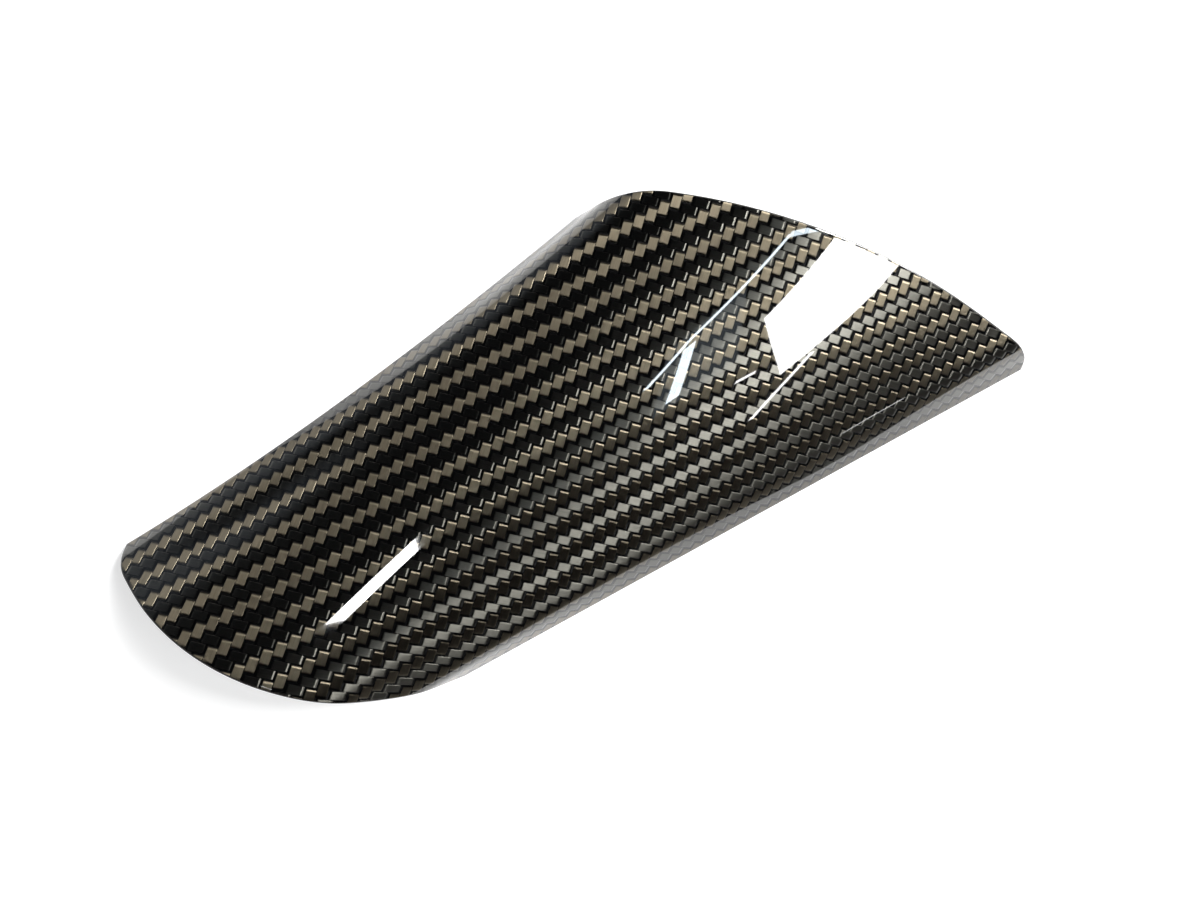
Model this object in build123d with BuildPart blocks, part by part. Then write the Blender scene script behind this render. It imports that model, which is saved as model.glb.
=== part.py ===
from build123d import *
import os

os.makedirs("parts", exist_ok=True)

# Laminate, and what takes the sharpness off its trimmed ends
wall = 1.5
rim_round = 0.5
rim_break = 0.3

# Straight long edge that rests on the floor, and the rounds along both sides
near_edge = -38.8
crease_round = 6.0
shoulder_round = 8.0

# Spans of the smooth curve drawn through each section
spans = 24

# Section beyond the narrow end: lip, crown and far wall
narrow_x = -102.5
narrow_lip_width = 3.5
narrow_lip_height = 23.2
narrow_crown = 5.5
narrow_wall_lean = 2.0
narrow_wall_height = 2.4
narrow_width = 58.5

# Section at the waist
waist_x = -33.5
waist_lip_width = 3.5
waist_lip_height = 5.4
waist_crown = 6.9
waist_wall_lean = 3.5
waist_wall_height = 3.8
waist_width = 67.0

# Section at the swell
swell_x = 34.5
swell_lip_width = 5.0
swell_lip_height = 4.2
swell_crown = 5.9
swell_wall_lean = 2.5
swell_wall_height = 11.9
swell_width = 81.0

# Section beyond the wide end
wide_x = 103.5
wide_lip_width = 6.5
wide_lip_height = 7.3
wide_crown = 0.6
wide_wall_lean = 6.0
wide_wall_height = 23.4
wide_width = 97.0

# Trimmed outline seen from above
outline_clearance = 1.0
waist_clearance = 3.0
narrow_far_x = -99.5
narrow_near_x = -51.5
narrow_end_radius = 78.0
narrow_far_round = 6.0
narrow_near_round = 52.0
wide_far_x = 26.0
wide_far_inset = 1.7
wide_near_x = 100.5
wide_end_radius = 230.0
wide_far_round = 32.0
wide_near_round = 3.0
trim_height = 40.0

sections = (
    (narrow_x, narrow_lip_width, narrow_lip_height, narrow_crown,
     narrow_wall_lean, narrow_wall_height, narrow_width),
    (waist_x, waist_lip_width, waist_lip_height, waist_crown,
     waist_wall_lean, waist_wall_height, waist_width),
    (swell_x, swell_lip_width, swell_lip_height, swell_crown,
     swell_wall_lean, swell_wall_height, swell_width),
    (wide_x, wide_lip_width, wide_lip_height, wide_crown,
     wide_wall_lean, wide_wall_height, wide_width),
)

with BuildPart() as mirror_arm_cover:
    # Each section is a lip, an arched crown and a far wall, with a back face one wall inside
    for x, lip_width, lip_height, crown, wall_lean, wall_height, width in sections:
        station = Plane(origin=(x, near_edge, 0), x_dir=(0, 1, 0), z_dir=(1, 0, 0))
        lip = Vector(lip_width, lip_height)
        shoulder = Vector(width - wall_lean, wall_height)
        with BuildLine(mode=Mode.PRIVATE) as guide:
            Line((0, 0), lip)
            SagittaArc(lip, shoulder, crown)
            Line(shoulder, (width, 0))
            fillet(guide.vertices().sort_by_distance(lip)[0], radius=crease_round)
            fillet(guide.vertices().sort_by_distance(shoulder)[0], radius=shoulder_round)
        outer = guide.wires()[0]
        inner = outer.offset_2d(wall, side=Side.RIGHT, closed=False)
        # The back face starts and ends where the offset curve meets the floor
        start = wall * lip_width / lip_height / inner.length
        end = 1 - wall * wall_lean / wall_height / inner.length
        with BuildSketch(station):
            with BuildLine():
                skin = Spline(*[outer @ (i / spans) for i in range(spans + 1)])
                back = Spline(*[inner @ (start + (end - start) * i / spans) for i in range(spans + 1)])
                Line(skin @ 0, back @ 0)
                Line(skin @ 1, back @ 1)
            make_face()
    loft()

    # The outline cuts both ends of the long shell
    with BuildSketch(Plane.XY) as outline:
        with BuildLine():
            narrow_far_corner = (narrow_far_x, near_edge + narrow_width + outline_clearance)
            narrow_near_corner = (narrow_near_x, near_edge - outline_clearance)
            wide_near_corner = (wide_near_x, near_edge - outline_clearance)
            wide_far_corner = (wide_far_x, near_edge + swell_width - wide_far_inset)
            beside_waist = (waist_x, near_edge + waist_width + waist_clearance)
            narrow_end = RadiusArc(narrow_far_corner, narrow_near_corner, -narrow_end_radius)
            Line(narrow_near_corner, wide_near_corner)
            wide_end = RadiusArc(wide_near_corner, wide_far_corner, -wide_end_radius)
            Polyline(wide_far_corner, beside_waist, narrow_far_corner)
        make_face()
        fillet(outline.vertices().sort_by_distance(narrow_end @ 0)[0], radius=narrow_far_round)
        fillet(outline.vertices().sort_by_distance(narrow_end @ 1)[0], radius=narrow_near_round)
        fillet(outline.vertices().sort_by_distance(wide_end @ 0)[0], radius=wide_near_round)
        fillet(outline.vertices().sort_by_distance(wide_end @ 1)[0], radius=wide_far_round)
    extrude(amount=trim_height, both=True, mode=Mode.INTERSECT)

    # The cut ends are rounded outside and broken inside; the edges on the floor stay as they are
    outer_face = mirror_arm_cover.faces().sort_by(SortBy.AREA)[-1]
    fillet(outer_face.edges().filter_by(lambda edge: edge.bounding_box().max.Z > wall), radius=rim_round)
    back_face = mirror_arm_cover.faces().sort_by(SortBy.AREA)[-2]
    chamfer(back_face.edges().filter_by(lambda edge: edge.bounding_box().max.Z > wall), length=rim_break)

mirror_arm_cover.part.label = "mirror_arm_cover"
export_step(mirror_arm_cover.part, "parts/mirror_arm_cover.step")
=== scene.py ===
import math

import bpy
import numpy as np
from mathutils import Matrix, Vector


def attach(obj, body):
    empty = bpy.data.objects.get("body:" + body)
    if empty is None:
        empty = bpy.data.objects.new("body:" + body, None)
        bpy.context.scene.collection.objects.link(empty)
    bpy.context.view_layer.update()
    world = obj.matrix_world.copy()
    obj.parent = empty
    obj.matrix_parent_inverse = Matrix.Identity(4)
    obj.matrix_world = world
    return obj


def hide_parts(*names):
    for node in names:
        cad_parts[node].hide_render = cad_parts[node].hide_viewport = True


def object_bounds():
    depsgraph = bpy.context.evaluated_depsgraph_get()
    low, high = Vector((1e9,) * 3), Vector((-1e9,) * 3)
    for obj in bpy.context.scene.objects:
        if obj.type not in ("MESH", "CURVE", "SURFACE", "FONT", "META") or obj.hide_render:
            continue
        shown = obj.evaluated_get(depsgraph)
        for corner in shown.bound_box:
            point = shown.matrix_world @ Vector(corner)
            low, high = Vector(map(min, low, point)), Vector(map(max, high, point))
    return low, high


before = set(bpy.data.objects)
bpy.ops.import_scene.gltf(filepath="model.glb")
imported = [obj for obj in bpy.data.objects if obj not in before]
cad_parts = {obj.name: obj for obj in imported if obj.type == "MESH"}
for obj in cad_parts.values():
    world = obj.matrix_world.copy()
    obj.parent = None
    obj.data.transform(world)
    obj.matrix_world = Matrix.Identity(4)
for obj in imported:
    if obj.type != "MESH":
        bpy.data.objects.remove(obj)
cad_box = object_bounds()
MM = 0.001

# Laminate and rounds of the cover, in millimetres as in the part's source
WALL = 1.5
RIM_ROUND = 0.5
FLOOR_ROUND = 0.15
NEAR_EDGE = -38.8
CREASE_ROUND = 6.0
SHOULDER_ROUND = 8.0
SPANS = 24

# Sections along the cover: place, lip width and height, crown, far wall's lean and height, width
STATIONS = (
    dict(x=-102.5, lip=(3.5, 23.2), crown=5.5, lean=2.0, wall=2.4, width=58.5),
    dict(x=-33.5, lip=(3.5, 5.4), crown=6.9, lean=3.5, wall=3.8, width=67.0),
    dict(x=34.5, lip=(5.0, 4.2), crown=5.9, lean=2.5, wall=11.9, width=81.0),
    dict(x=103.5, lip=(6.5, 7.3), crown=0.6, lean=6.0, wall=23.4, width=97.0),
)

# Trimmed outline seen from above
OUTLINE_CLEARANCE = 1.0
WAIST_CLEARANCE = 3.0
NARROW_FAR_X = -99.5
NARROW_NEAR_X = -51.5
NARROW_END_RADIUS = 78.0
NARROW_FAR_ROUND = 6.0
NARROW_NEAR_ROUND = 52.0
WIDE_FAR_X = 26.0
WIDE_FAR_INSET = 1.7
WIDE_NEAR_X = 100.5
WIDE_END_RADIUS = 230.0
WIDE_FAR_ROUND = 32.0
WIDE_NEAR_ROUND = 3.0

# Mesh: cells along and across, how far the rows crowd at both feet, steps of a round and of a section
COLUMNS = 260
ROWS = 110
ROW_CROWDING = 0.06
ROUND_STEPS = 4
SIDE_STEPS = 200
TURN_STEPS = 100
CROWN_STEPS = 800

# Length over a middling section, the share of it that the round at a foot takes, and a foot's height
SECTION_LENGTH = 75.0
FOOT_SHARE = FLOOR_ROUND / SECTION_LENGTH
FOOT_HEIGHT = 0.01

# Search for the x where each row meets an end: first guesses, share of the way at a try, and tries
NARROW_GUESS = -80.0
WIDE_GUESS = 60.0
END_PULL = 0.5
END_TRIES = 60

# Cloth map: sections and steps that its lengths are added up over, and its scale
MAP_SECTIONS = 80
MAP_STEPS = 600
CLOTH_UNIT = 100.0

# Flat map for textures: margin and reach, then the outer face, the back face and the cut edge
MAP_MARGIN = 0.01
MAP_REACH = 0.98
OUTER_START = 0.54
BACK_START = 0.46
FACE_REACH = 0.45
EDGE_START = 0.475
EDGE_REACH = 0.05

# Cloth: step from float to float along a row, from row to row, the rows' lean, and the weave's place
FLOAT_STEP = 2.87
ROW_STEP = 5.48
ROW_LEAN = 0.055
WEAVE_PLACE = (0.741, -0.145)


def section(station, inset):
    """Points of one section at equal shares of its length, moved inwards by inset and cut at the floor."""
    lip = np.array(station["lip"])
    shoulder = np.array([station["width"] - station["lean"], station["wall"]])
    near_foot = np.array([0.0, 0.0])
    far_foot = np.array([station["width"], 0.0])
    chord = shoulder - lip
    half = np.linalg.norm(chord) / 2
    up = np.array([-chord[1], chord[0]]) / (2 * half)
    radius = (half ** 2 + station["crown"] ** 2) / (2 * station["crown"])
    centre = (lip + shoulder) / 2 - up * (radius - station["crown"])

    def rounded(foot, corner, turn):
        """Where a round of radius turn leaves the straight side and joins the crown, and its centre."""
        along = (corner - foot) / np.linalg.norm(corner - foot)
        inward = np.array([along[1], -along[0]])
        inward = inward if inward @ (centre - corner) > 0 else -inward
        start = corner + inward * turn - centre
        b = start @ along
        root = math.sqrt(b * b - start @ start + (radius - turn) ** 2)
        slide = min(-b + root, -b - root, key=abs)
        middle = corner + inward * turn + along * slide
        return corner + along * slide, centre + (middle - centre) * radius / (radius - turn), middle

    near_line_end, near_arc_end, near_middle = rounded(near_foot, lip, CREASE_ROUND)
    far_line_end, far_arc_end, far_middle = rounded(far_foot, shoulder, SHOULDER_ROUND)

    def arc(middle, start, end, count):
        first, last = (math.atan2(*(p - middle)[::-1]) for p in (start, end))
        angles = np.linspace(first, last, count)
        size = np.linalg.norm(start - middle) - inset
        return middle + size * np.stack([np.cos(angles), np.sin(angles)], 1)

    def side(start, end, count):
        along = (end - start) / np.linalg.norm(end - start)
        inward = np.array([along[1], -along[0]]) * inset
        return np.linspace(start + inward, end + inward, count)

    path = np.concatenate([
        side(near_foot, near_line_end, SIDE_STEPS)[:-1],
        arc(near_middle, near_line_end, near_arc_end, TURN_STEPS)[:-1],
        arc(centre, near_arc_end, far_arc_end, CROWN_STEPS)[:-1],
        arc(far_middle, far_arc_end, far_line_end, TURN_STEPS)[:-1],
        side(far_line_end, far_foot, SIDE_STEPS)])
    length = np.concatenate([[0.0], np.cumsum(np.linalg.norm(np.diff(path, axis=0), axis=1))])
    top = int(np.argmax(path[:, 1]))
    first = np.interp(0.0, path[:top, 1], length[:top])
    last = np.interp(0.0, path[top:, 1][::-1], length[top:][::-1])
    share = np.linspace(first, last, SPANS + 1)
    return np.stack([np.interp(share, length, path[:, axis]) for axis in (0, 1)], 1)


def through(points, share):
    """Smooth curve through evenly spaced points, read at shares of its length."""
    count = len(points)
    system = np.diag(np.full(count, 4.0)) + np.diag(np.ones(count - 1), 1) + np.diag(np.ones(count - 1), -1)
    pull = np.zeros_like(points)
    pull[1:-1] = 6 * (points[2:] - 2 * points[1:-1] + points[:-2])
    system[0, :2] = system[-1, -2:][::-1] = (1.0, 0.0)
    bend = np.linalg.solve(system, pull)
    at = np.clip(np.asarray(share) * (count - 1), 0, count - 1)
    cell = np.minimum(at.astype(int), count - 2)
    t = (at - cell)[:, None]
    return (points[cell] * (1 - t) + points[cell + 1] * t
            + ((1 - t) ** 3 - (1 - t)) * bend[cell] / 6 + (t ** 3 - t) * bend[cell + 1] / 6)


class Skin:
    """One face of the shell, the outer one or the back one, as places by x and by share across."""

    def __init__(self, inset):
        self.sections = [section(station, inset) for station in STATIONS]

    def places(self, x, share):
        """Points for rows of x, one row for each share across."""
        rows = np.stack([through(points, share) for points in self.sections])
        stations = [station["x"] for station in STATIONS]
        out = np.zeros(x.shape + (3,))
        out[..., 0] = x
        for k, here in enumerate(stations):
            weight = np.ones_like(x)
            for other in stations:
                if other != here:
                    weight = weight * (x - other) / (here - other)
            out[..., 1:] += weight[..., None] * rows[k][:, None, :]
        out[..., 1] += NEAR_EDGE
        return out


def circle_through(start, end, radius):
    """Centre of the arc from start to end that bulges to the right of the way it runs."""
    start, end = np.array(start), np.array(end)
    half = (end - start) / 2
    left = np.array([-half[1], half[0]]) / np.linalg.norm(half)
    return (start + end) / 2 + left * math.sqrt(radius ** 2 - half @ half)


class TrimmedEnd:
    """An end of the outline: a large arc with a round at each corner, read as x for any y."""

    def __init__(self, centre, radius, sign, near_round, far_round, far_line):
        self.centre, self.radius, self.sign = centre, radius, sign
        floor_line = NEAR_EDGE - OUTLINE_CLEARANCE
        rise = floor_line + near_round - centre[1]
        reach = math.sqrt((radius - near_round) ** 2 - rise ** 2)
        self.near = (centre + np.array([sign * reach, rise]), near_round)
        start, end = (np.array(p) for p in far_line)
        along = (end - start) / np.linalg.norm(end - start)
        down = np.array([along[1], -along[0]])
        down = down if down[1] < 0 else -down
        base = start + down * far_round - centre
        b = base @ along
        root = math.sqrt(b * b - base @ base + (radius - far_round) ** 2)
        slide = max((-b + root, -b - root), key=lambda t: sign * (base + along * t)[0])
        self.far = (start + down * far_round + along * slide, far_round)

    def x(self, y):
        out = self.on(self.centre, self.radius, y)
        for (middle, turn), lower in ((self.near, True), (self.far, False)):
            joint = self.centre + (middle - self.centre) * self.radius / (self.radius - turn)
            beyond = y < joint[1] if lower else y > joint[1]
            out = np.where(beyond, self.on(middle, turn, y), out)
        return out

    def on(self, middle, turn, y):
        return middle[0] + self.sign * np.sqrt(np.maximum(turn ** 2 - (y - middle[1]) ** 2, 0.0))


narrow_far = (NARROW_FAR_X, NEAR_EDGE + STATIONS[0]["width"] + OUTLINE_CLEARANCE)
narrow_near = (NARROW_NEAR_X, NEAR_EDGE - OUTLINE_CLEARANCE)
wide_near = (WIDE_NEAR_X, NEAR_EDGE - OUTLINE_CLEARANCE)
wide_far = (WIDE_FAR_X, NEAR_EDGE + STATIONS[2]["width"] - WIDE_FAR_INSET)
beside_waist = (STATIONS[1]["x"], NEAR_EDGE + STATIONS[1]["width"] + WAIST_CLEARANCE)
narrow_end = TrimmedEnd(circle_through(narrow_far, narrow_near, NARROW_END_RADIUS), NARROW_END_RADIUS, -1,
                        NARROW_NEAR_ROUND, NARROW_FAR_ROUND, (narrow_far, beside_waist))
wide_end = TrimmedEnd(circle_through(wide_near, wide_far, WIDE_END_RADIUS), WIDE_END_RADIUS, 1,
                      WIDE_NEAR_ROUND, WIDE_FAR_ROUND, (beside_waist, wide_far))


def grid(skin, end_inset, foot_inset):
    """Rows of points from the narrow end to the wide end, kept inside the outline by the insets."""
    share = np.linspace(0.0, 1.0, ROWS + 1)
    share = share - ROW_CROWDING * np.sin(2 * math.pi * share) / math.pi
    share = foot_inset + share * (1 - 2 * foot_inset)
    ends = []
    for end, start in ((narrow_end, NARROW_GUESS), (wide_end, WIDE_GUESS)):
        x = np.full(ROWS + 1, start)
        for _ in range(END_TRIES):
            y = skin.places(x[:, None], share)[:, 0, 1]
            x = x + END_PULL * (end.x(y) - end.sign * end_inset - x)
        ends.append(x)
    along = np.linspace(0.0, 1.0, COLUMNS + 1)
    x = ends[0][:, None] + along * (ends[1] - ends[0])[:, None]
    return skin.places(x, share), share


def ring(points):
    """The border of a grid, once round."""
    return np.concatenate([points[0, :-1], points[:-1, -1], points[-1, :0:-1], points[:0:-1, 0]])


outer_skin, back_skin = Skin(0.0), Skin(WALL)
outer, outer_share = grid(outer_skin, RIM_ROUND, FOOT_SHARE)
back, back_share = grid(back_skin, RIM_ROUND, FOOT_SHARE)
outer_edge = ring(grid(outer_skin, 0.0, 0.0)[0])
back_edge = ring(grid(back_skin, 0.0, 0.0)[0])

# The cut edge: a round from each face into a flat strip
reach = back_edge - outer_edge
thick = np.linalg.norm(reach, axis=1)[:, None]
foot = np.minimum(outer_edge[:, 2:], back_edge[:, 2:]) < FOOT_HEIGHT
turn = np.where(foot, FLOOR_ROUND, RIM_ROUND)
strip = []
for t in np.linspace(0.0, 1.0, ROUND_STEPS + 1)[1:]:
    stop = outer_edge + reach / thick * turn
    strip.append((1 - t) ** 2 * ring(outer) + 2 * t * (1 - t) * outer_edge + t ** 2 * stop)
for t in np.linspace(0.0, 1.0, ROUND_STEPS + 1)[:-1]:
    start = back_edge - reach / thick * turn
    strip.append((1 - t) ** 2 * start + 2 * t * (1 - t) * back_edge + t ** 2 * ring(back))
strip = np.stack(strip)

# One mesh, kept inside the CAD's box: outer grid, back grid, then the rows of the cut edge
border = len(outer_edge)
cells = (ROWS + 1) * (COLUMNS + 1)
index = np.arange(cells).reshape(ROWS + 1, COLUMNS + 1)
quads = np.stack([index[:-1, :-1], index[:-1, 1:], index[1:, 1:], index[1:, :-1]], -1).reshape(-1, 4)
edge_rows = [2 * cells + k * border + np.arange(border) for k in range(len(strip))]
rows = [ring(index)] + edge_rows + [ring(index) + cells]
edge_quads = []
for first, second in zip(rows[:-1], rows[1:]):
    edge_quads.append(np.stack([np.roll(first, -1), first, second, np.roll(second, -1)], -1))
edge_quads = np.concatenate(edge_quads)
points = np.concatenate([outer.reshape(-1, 3), back.reshape(-1, 3), strip.reshape(-1, 3)])
points = np.clip(points, *(np.array(corner) / MM for corner in cad_box))
faces = np.concatenate([quads, quads[:, ::-1] + cells, edge_quads])

mesh = bpy.data.meshes.new("cover_shell")
mesh.from_pydata((points * MM).tolist(), [], faces.tolist())
mesh.polygons.foreach_set("use_smooth", np.ones(len(faces), bool))
mesh.polygons.foreach_set("material_index", np.repeat([0, 1, 2], [len(quads), len(quads), len(edge_quads)]))
cover = bpy.data.objects.new("cover_shell", mesh)
bpy.context.collection.objects.link(cover)


def across(skin, share, x):
    """Length over the surface, square to the long edge, from the middle line of the cover."""
    stations = np.linspace(STATIONS[0]["x"], STATIONS[-1]["x"], MAP_SECTIONS)
    fine = np.linspace(0.0, 1.0, MAP_STEPS)
    spots = skin.places(np.tile(stations, (len(fine), 1)), fine)
    steps = np.linalg.norm(np.diff(spots, axis=0), axis=2)
    length = np.concatenate([np.zeros((1, len(stations))), np.cumsum(steps, axis=0)])
    middle = [np.interp(0.0, spots[:, k, 1], length[:, k]) for k in range(len(stations))]
    table = np.stack([np.interp(share, fine, length[:, k] - middle[k]) for k in range(len(stations))])
    return np.stack([np.interp(x[r], stations, table[:, r]) for r in range(len(share))])


# Cloth map in millimetres: along the cover, and across it over the surface
cloth = np.concatenate([
    np.stack([g[..., 0], across(skin, share, g[..., 0])], -1).reshape(-1, 2)
    for skin, g, share in ((outer_skin, outer, outer_share), (back_skin, back, back_share))])
cloth_rim = np.concatenate([np.stack([s[:, 0], s[:, 2]], -1) for s in strip])
cloth = np.concatenate([cloth, cloth_rim])

# Flat map of the whole piece, for its textures: outer face above, back face below, edge between
column, row = np.meshgrid(np.linspace(0, 1, COLUMNS + 1), np.linspace(0, 1, ROWS + 1))
flat_x = MAP_MARGIN + MAP_REACH * column
sheet = np.stack([flat_x, OUTER_START + FACE_REACH * row], -1).reshape(-1, 2)
under = np.stack([flat_x, BACK_START - FACE_REACH * row], -1).reshape(-1, 2)
loops = np.zeros(len(mesh.loops), dtype=np.int32)
mesh.loops.foreach_get("vertex_index", loops)
flat = np.zeros((len(loops), 2))
face_of = np.repeat(np.arange(len(faces)), 4)
on_outer = face_of < len(quads)
on_edge = face_of >= 2 * len(quads)
on_back = ~on_outer & ~on_edge
flat[on_outer] = sheet[loops[on_outer]]
flat[on_back] = under[loops[on_back] - cells]
edge_face = face_of[on_edge] - 2 * len(quads)
edge_corner = np.tile([[1, 0], [0, 0], [0, 1], [1, 1]], (len(edge_quads), 1))
flat[on_edge, 0] = MAP_MARGIN + MAP_REACH * (edge_face % border + edge_corner[:, 0]) / border
flat[on_edge, 1] = EDGE_START + EDGE_REACH * (edge_face // border + edge_corner[:, 1]) / (len(rows) - 1)
for name, values in (("OFBake", flat), ("cloth", cloth[loops] / CLOTH_UNIT)):
    layer = mesh.uv_layers.new(name=name)
    layer.data.foreach_set("uv", values.astype(np.float32).ravel())
mesh.validate()
mesh.update()


class Nodes:
    """Short names for the nodes that a material or the world is made of."""

    def __init__(self, owner):
        self.owner = owner
        owner.use_nodes = True
        self.tree = owner.node_tree
        self.tree.nodes.clear()

    def node(self, kind, **values):
        made = self.tree.nodes.new(kind)
        for key, value in values.items():
            setattr(made, key, value)
        return made

    def put(self, socket, value):
        if hasattr(value, "is_output"):
            self.tree.links.new(value, socket)
        else:
            socket.default_value = value

    def math(self, operation, *values):
        made = self.node("ShaderNodeMath", operation=operation)
        for socket, value in zip(made.inputs, values):
            self.put(socket, value)
        return made.outputs[0]

    def mix(self, share, first, second):
        made = self.node("ShaderNodeMix", data_type="FLOAT")
        for socket, value in zip((made.inputs[0], made.inputs[2], made.inputs[3]), (share, first, second)):
            self.put(socket, value)
        return made.outputs[0]

    def colour(self, share, first, second):
        made = self.node("ShaderNodeMix", data_type="RGBA")
        for socket, value in zip((made.inputs[0], made.inputs[6], made.inputs[7]), (share, first, second)):
            self.put(socket, value)
        return made.outputs[2]

    def vector(self, x, y, z):
        made = self.node("ShaderNodeCombineXYZ")
        for socket, value in zip(made.inputs, (x, y, z)):
            self.put(socket, value)
        return made.outputs[0]

    def noise(self, place, scale, detail=2.0, rough=0.5):
        made = self.node("ShaderNodeTexNoise")
        self.put(made.inputs["Vector"], place)
        self.put(made.inputs["Scale"], scale)
        self.put(made.inputs["Detail"], detail)
        self.put(made.inputs["Roughness"], rough)
        return made.outputs["Fac"]

    def steps(self, value, low, high):
        made = self.node("ShaderNodeMapRange", interpolation_type="SMOOTHSTEP")
        for socket, number in zip(made.inputs, (value, low, high, 0.0, 1.0)):
            self.put(socket, number)
        return made.outputs[0]

    def finish(self, shader, kind="ShaderNodeOutputMaterial"):
        output = self.node(kind)
        self.tree.links.new(shader, output.inputs[0])
        return self.owner


def twill(n):
    """Two-by-two twill at 45 degrees: which tow is on top, and where in that tow a point lies."""
    uv = n.node("ShaderNodeUVMap", uv_map="cloth").outputs[0]
    split = n.node("ShaderNodeSeparateXYZ")
    n.put(split.inputs[0], uv)
    leaned = n.math("MULTIPLY_ADD", split.outputs[1], ROW_LEAN, split.outputs[0])
    along = n.math("MULTIPLY_ADD", leaned, CLOTH_UNIT / FLOAT_STEP, WEAVE_PLACE[0])
    twice = n.math("MULTIPLY_ADD", split.outputs[1], 2 * CLOTH_UNIT / ROW_STEP, 2 * WEAVE_PLACE[1])
    a = n.math("ADD", twice, along)
    b = n.math("SUBTRACT", twice, along)
    a_part, b_part = n.math("FRACT", a), n.math("FRACT", b)
    turn = n.math("FLOORED_MODULO", n.math("ADD", n.math("FLOOR", a), n.math("FLOOR", b)), 4.0)
    first_on_top = n.math("LESS_THAN", turn, 1.5)
    first_run = n.math("ADD", turn, a_part)
    second_run = n.math("ADD", n.math("SUBTRACT", turn, 2.0), b_part)
    run = n.math("SUBTRACT", n.mix(first_on_top, second_run, first_run), 1.0)
    side = n.math("MULTIPLY_ADD", n.mix(first_on_top, a_part, b_part), 2.0, -1.0)
    tow_along = n.mix(first_on_top, b, a)
    tow_across = n.mix(first_on_top, a, b)
    return dict(first=first_on_top, run=run, side=side, along=tow_along, across=tow_across)


# Tows: where a float falls off at its sides and ends, its fibres, colours and gloss; the two tow colours
# are lit and shaded copies of one fibre, a painted sheen, and the float sides and ends are painted black as
# painted shade
SIDE_FALL = (1.0, 0.84)
END_FALL = (0.86, 0.58)
FIBRE_STRETCH = 0.35
FIBRES_PER_TOW = 14.0
FIBRE_HEIGHT = 0.06
COATED_RELIEF = 0.00012
BARE_RELIEF = 0.0002
# Black: the painted shade where the tows dive, and the dark resin of the cut edge
BLACK = (0.004, 0.004, 0.004, 1.0)
# Painted sheen: the first tows are coloured paler and the second darker, though both are the same fibre
FIRST_TOW_SHEEN = (0.175, 0.149, 0.105, 1.0)
SECOND_TOW_SHADE = (0.086, 0.084, 0.073, 1.0)
TOW_ROUGHNESS = 0.32
FIBRE_ROUGHNESS = 0.08
TOW_ANISOTROPY = 0.95
FIRST_TURN = 0.375
SECOND_TURN = 0.125
COAT_ROUGHNESS = 0.015
COAT_IOR = 1.75

# Cut edge: its paler grain and the size of it
GRAIN_COLOUR = (0.03, 0.028, 0.026, 1.0)
GRAIN_SCALE = 2500.0


def carbon(name, coated):
    """Carbon cloth in resin: bright along one way of the light, with a painted sheen on the first tows and
    painted shade where the tows dive, and a clear gloss coat outside.
    """
    n = Nodes(bpy.data.materials.new(name))
    weave = twill(n)
    shader = n.node("ShaderNodeBsdfPrincipled")
    crown = n.steps(n.math("ABSOLUTE", weave["side"]), *SIDE_FALL)
    dive = n.steps(n.math("ABSOLUTE", weave["run"]), *END_FALL)
    fibre_along = n.math("MULTIPLY", weave["along"], FIBRE_STRETCH)
    fibre_across = n.math("MULTIPLY", weave["across"], FIBRES_PER_TOW)
    fibre = n.noise(n.vector(fibre_along, fibre_across, weave["first"]), 1.0, 3.0, 0.6)
    tow_tone = n.noise(n.vector(n.math("FLOOR", weave["across"]), weave["first"], 0.5), 3.7, 1.0)
    height = n.math("MULTIPLY_ADD", fibre, FIBRE_HEIGHT, n.math("MULTIPLY", crown, dive))
    bump = n.node("ShaderNodeBump")
    n.put(bump.inputs["Strength"], 1.0)
    n.put(bump.inputs["Distance"], COATED_RELIEF if coated else BARE_RELIEF)
    n.put(bump.inputs["Height"], height)
    fibre_light = n.math("MULTIPLY_ADD", fibre, 0.7, 0.55)
    tow_light = n.math("MULTIPLY_ADD", tow_tone, 0.5, 0.7)
    # Painted shade: the colour falls to black at each float's sides and ends, where the tow dives under the
    # crossing one; fibre streaks and tow tone vary at random
    tone_and_dive_shade = n.math("MULTIPLY", n.math("MULTIPLY", fibre_light, tow_light), n.math("MULTIPLY", crown, dive))
    # Painted sheen: the first tows take the paler colour, the second the darker one
    painted_sheen_colour = n.colour(weave["first"], SECOND_TOW_SHADE, FIRST_TOW_SHEEN)
    n.put(shader.inputs["Base Color"], n.colour(tone_and_dive_shade, BLACK, painted_sheen_colour))
    n.put(shader.inputs["Metallic"], 1.0)
    n.put(shader.inputs["Roughness"], n.math("MULTIPLY_ADD", fibre, FIBRE_ROUGHNESS, TOW_ROUGHNESS))
    n.put(shader.inputs["Anisotropic"], TOW_ANISOTROPY)
    tangent = n.node("ShaderNodeTangent", direction_type="UV_MAP", uv_map="cloth")
    n.put(shader.inputs["Tangent"], tangent.outputs[0])
    n.put(shader.inputs["Anisotropic Rotation"], n.mix(weave["first"], SECOND_TURN, FIRST_TURN))
    n.put(shader.inputs["Normal"], bump.outputs[0])
    if coated:
        shader.inputs["Coat Weight"].default_value = 1.0
        shader.inputs["Coat Roughness"].default_value = COAT_ROUGHNESS
        shader.inputs["Coat IOR"].default_value = COAT_IOR
    return n.finish(shader.outputs[0])


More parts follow.
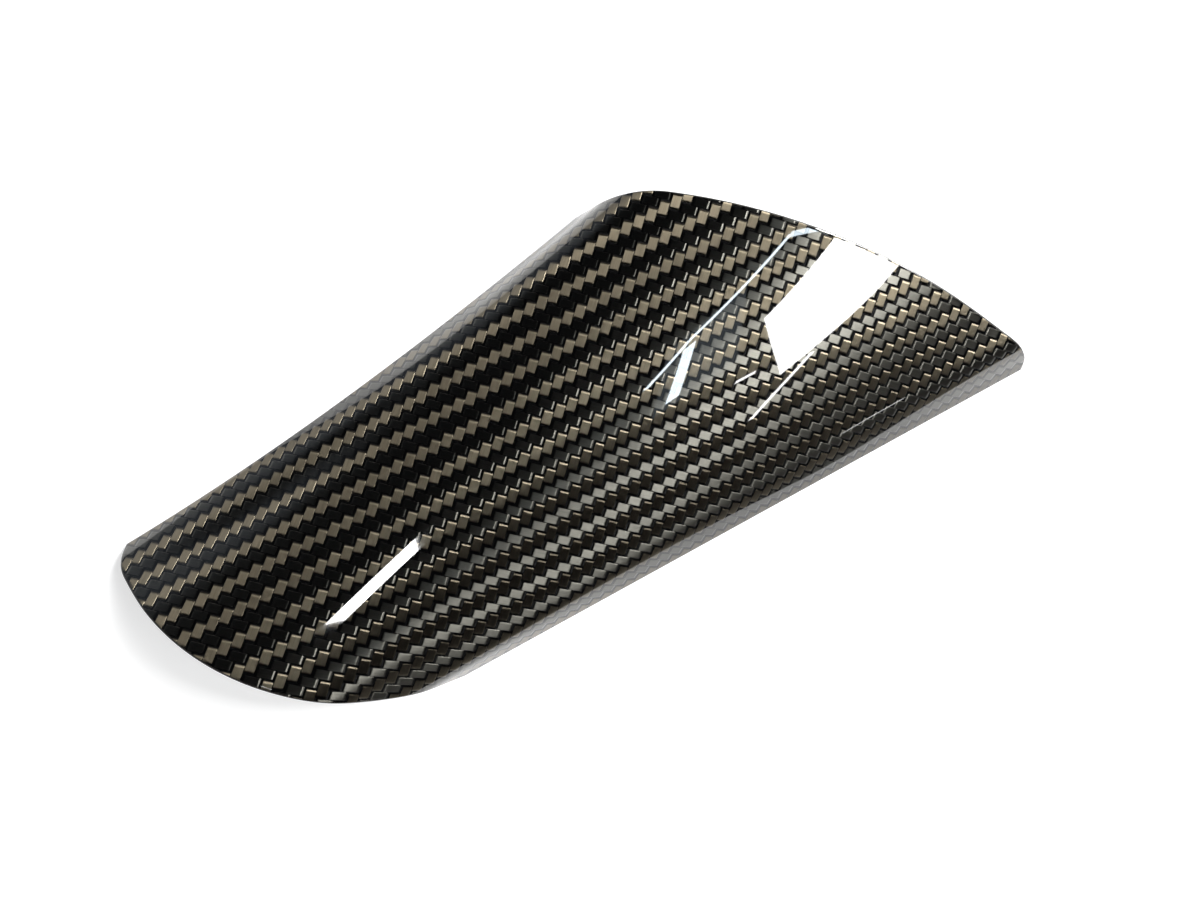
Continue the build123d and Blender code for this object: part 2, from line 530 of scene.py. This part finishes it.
def cut_edge():
    """Trimmed laminate seen from its edge: dark resin with a fine grain."""
    n = Nodes(bpy.data.materials.new("cut_laminate"))
    shader = n.node("ShaderNodeBsdfPrincipled")
    place = n.node("ShaderNodeTexCoord").outputs["Object"]
    grain = n.noise(place, GRAIN_SCALE, 3.0, 0.7)
    n.put(shader.inputs["Base Color"], n.colour(grain, BLACK, GRAIN_COLOUR))
    n.put(shader.inputs["Roughness"], n.math("MULTIPLY_ADD", grain, 0.2, 0.25))
    shader.inputs["Coat Weight"].default_value = 0.6
    shader.inputs["Coat Roughness"].default_value = 0.08
    return n.finish(shader.outputs[0])


for material in (carbon("carbon_twill_gloss", True), carbon("carbon_twill_back", False), cut_edge()):
    mesh.materials.append(material)
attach(cover, "root")
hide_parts("mirror_arm_cover")

# Floor: pale, white where the camera or a gloss sees it, and with the cover's shadow
FLOOR_SIZE = 6.0
FLOOR_DROP = 0.00005
FLOOR_COLOUR = (0.4, 0.4, 0.4, 1.0)
FLOOR_GLOW = 0.7
bpy.ops.mesh.primitive_plane_add(size=FLOOR_SIZE, location=(0, 0, -FLOOR_DROP))
floor = bpy.context.object
floor.name = "floor"
n = Nodes(bpy.data.materials.new("pale_floor"))
matt = n.node("ShaderNodeBsdfDiffuse")
matt.inputs[0].default_value = FLOOR_COLOUR
glow = n.node("ShaderNodeEmission")
path = n.node("ShaderNodeLightPath")
seen = n.math("MAXIMUM", path.outputs["Is Camera Ray"], path.outputs["Is Glossy Ray"])
seen = n.math("MAXIMUM", seen, path.outputs["Is Transmission Ray"])
n.put(glow.inputs["Strength"], n.math("MULTIPLY", seen, FLOOR_GLOW))
both = n.node("ShaderNodeAddShader")
n.put(both.inputs[0], matt.outputs[0])
n.put(both.inputs[1], glow.outputs[0])
floor.data.materials.append(n.finish(both.outputs[0]))

# Surroundings: a dark room with a paler wall low down on the far side
ROOM_COLOUR = (0.015, 0.015, 0.016, 1.0)
WALL_COLOUR = (0.18, 0.20, 0.23, 1.0)
WALL_SLOPE = -1.2
WALL_RANGE = (-0.1, 0.6)
world = bpy.data.worlds.new("studio")
bpy.context.scene.world = world
n = Nodes(world)
split = n.node("ShaderNodeSeparateXYZ")
n.put(split.inputs[0], n.node("ShaderNodeTexCoord").outputs["Generated"])
low_far = n.math("MULTIPLY_ADD", split.outputs[2], WALL_SLOPE, split.outputs[1])
sky = n.node("ShaderNodeBackground")
n.put(sky.inputs["Color"], n.colour(n.steps(low_far, *WALL_RANGE), ROOM_COLOUR, WALL_COLOUR))
n.finish(sky.outputs[0], "ShaderNodeOutputWorld")

# Height of the plane that the window and the thin lamps lie in
LAMP_HEIGHT = 600.0


def lamp(name, middle, along, up, size, radiance, colour=(1.0, 1.0, 1.0)):
    """Rectangular lamp turned to the cover: its middle, the ways its sides run, its two sizes."""
    data = bpy.data.lights.new(name, "AREA")
    data.shape = "RECTANGLE"
    data.size, data.size_y = (s * MM for s in size)
    data.energy = radiance * math.pi * data.size * data.size_y
    data.color = colour
    made = bpy.data.objects.new(name, data)
    bpy.context.collection.objects.link(made)
    along = Vector(along).normalized()
    away = along.cross(Vector(up)).normalized()
    away = away if away.dot(Vector(middle)) > 0 else -away
    made.matrix_world = Matrix.Translation(Vector(middle) * MM) @ Matrix(
        (along, away.cross(along), away)).transposed().to_4x4()


def strip_lamp(name, start, end, width, radiance, colour=(1.0, 1.0, 1.0)):
    """Thin flat lamp overhead, from one place to another."""
    start, end = (Vector((*place, LAMP_HEIGHT)) for place in (start, end))
    along = end - start
    lamp(name, (start + end) / 2, along, (-along.y, along.x, 0.0), (along.length, width), radiance, colour)


# Lamps: a bright window, a soft box beside it, and the thin bright edges that the gloss picks up
WINDOW_CORNERS = ((199, -176), (229, -373), (446, -239), (318, -107))
WINDOW_RADIANCE = 16.0
SOFT_BOX_PLACE = (565, -60, LAMP_HEIGHT)
SOFT_BOX_SIZE = (330, 270)
SOFT_BOX_RADIANCE = 60.0
PANEL_PLACE = (135, -165, LAMP_HEIGHT + 40)
PANEL_SIZE = (90, 180)
PANEL_RADIANCE = 0.5
FRAME_FOOT = (70, -129)
FRAME_BEND = (109, -87)
FRAME_TOP = (223, -44)
FRAME_END = (290, -100)
FRAME_WIDTH = 7
COOL = (0.80, 0.92, 1.0)

pane = bpy.data.meshes.new("window")
pane.from_pydata([(x * MM, y * MM, LAMP_HEIGHT * MM) for x, y in WINDOW_CORNERS], [], [(3, 2, 1, 0)])
window = bpy.data.objects.new("window", pane)
bpy.context.collection.objects.link(window)
n = Nodes(bpy.data.materials.new("window_light"))
glow = n.node("ShaderNodeEmission")
glow.inputs["Strength"].default_value = WINDOW_RADIANCE
pane.materials.append(n.finish(glow.outputs[0]))
lamp("soft_box", SOFT_BOX_PLACE, (0.7, -0.7, 0.0), (0.5, 0.5, -0.7), SOFT_BOX_SIZE, SOFT_BOX_RADIANCE)
lamp("pale_panel", PANEL_PLACE, (1.0, 0.0, 0.0), (0.0, 1.0, 0.0), PANEL_SIZE, PANEL_RADIANCE, COOL)
strip_lamp("small_lamp", start=(-81.5, 17), end=(-68.5, -33), width=4, radiance=30.0)
strip_lamp("frame_low", FRAME_FOOT, FRAME_BEND, FRAME_WIDTH, radiance=15.0, colour=COOL)
strip_lamp("frame_middle", FRAME_BEND, FRAME_TOP, FRAME_WIDTH, radiance=15.0, colour=COOL)
strip_lamp("frame_high", FRAME_TOP, FRAME_END, FRAME_WIDTH, radiance=12.0, colour=COOL)
strip_lamp("streak", start=(110, -101), end=(102, -221), width=13, radiance=15.0, colour=COOL)
strip_lamp("dash", start=(172, -304), end=(195, -310), width=8, radiance=15.0)
strip_lamp("second_line", start=(205, -474), end=(270, -359), width=9, radiance=15.0)
strip_lamp("third_line", start=(396, -858), end=(446, -776), width=9, radiance=14.0)

# Camera: a little way above the cover and looking down, as in the photograph
CAMERA_PLACE = (-18.66, 4.383, 192.456)
CAMERA_TURN = (-0.847, -6.883, -27.691)
CAMERA_LENS = 26.204
CAMERA_SENSOR = 36.0
camera_data = bpy.data.cameras.new("camera")
camera_data.sensor_width = CAMERA_SENSOR
camera_data.lens = CAMERA_LENS
camera_data.clip_start = 0.01
camera = bpy.data.objects.new("camera", camera_data)
bpy.context.collection.objects.link(camera)
camera.location = Vector(CAMERA_PLACE) * MM
camera.rotation_euler = [math.radians(angle) for angle in CAMERA_TURN]
bpy.context.scene.camera = camera
bpy.context.scene.view_settings.view_transform = "Standard"
